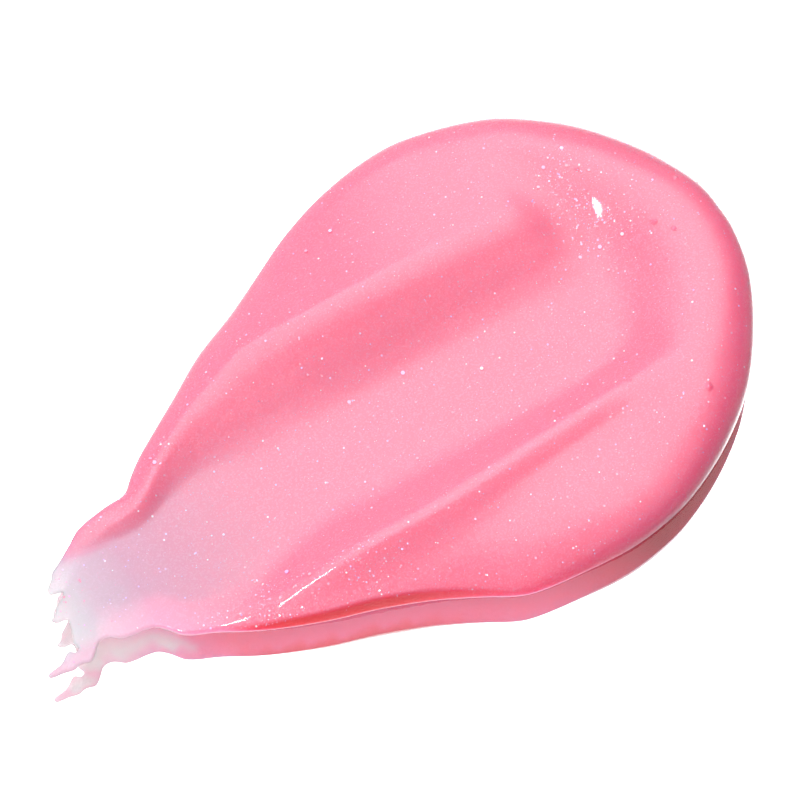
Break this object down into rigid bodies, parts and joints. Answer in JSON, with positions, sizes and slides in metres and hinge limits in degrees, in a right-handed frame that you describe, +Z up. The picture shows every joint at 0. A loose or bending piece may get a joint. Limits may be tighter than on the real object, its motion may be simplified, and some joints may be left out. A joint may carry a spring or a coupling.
{
  "type": "lip gloss smear",
  "caption": "Drop-shaped smear of pearly lip gloss with a thick rounded head, a wiped trough, a thin ragged tail and glitter flakes on its skin.",
  "frame": {"origin": "on the flat underside, under the middle of the bounding box", "axes": "+Z up, away from the surface the gloss lies on; +X along the stroke, from the ragged tail to the rounded head; +Y towards the higher bank"},
  "size_m": [0.0416, 0.0258, 0.0025],
  "materials": {
    "gel": "wet, clear-coated pink gel with a soft pearl sheen, paler and nearly clear where it is a film",
    "glitter": "bright mirror-like pearl film, white to lavender"
  },
  "bodies": {
    "root": {"gloss_body": "gel", "glitter_flake_01": "glitter", "glitter_flake_02": "glitter", "glitter_flake_03": "glitter", "glitter_flake_04": "glitter", "glitter_flake_05": "glitter", "glitter_flake_06": "glitter", "glitter_flake_07": "glitter", "glitter_flake_08": "glitter", "glitter_flake_09": "glitter", "glitter_flake_10": "glitter", "glitter_flake_11": "glitter", "glitter_flake_12": "glitter", "glitter_flake_13": "glitter", "glitter_flake_14": "glitter", "glitter_flake_15": "glitter", "glitter_flake_16": "glitter", "glitter_flake_17": "glitter", "glitter_flake_18": "glitter", "glitter_flake_19": "glitter", "glitter_flake_20": "glitter", "glitter_flake_21": "glitter", "glitter_flake_22": "glitter", "glitter_flake_23": "glitter", "glitter_flake_24": "glitter"}
  },
  "joints": []
}
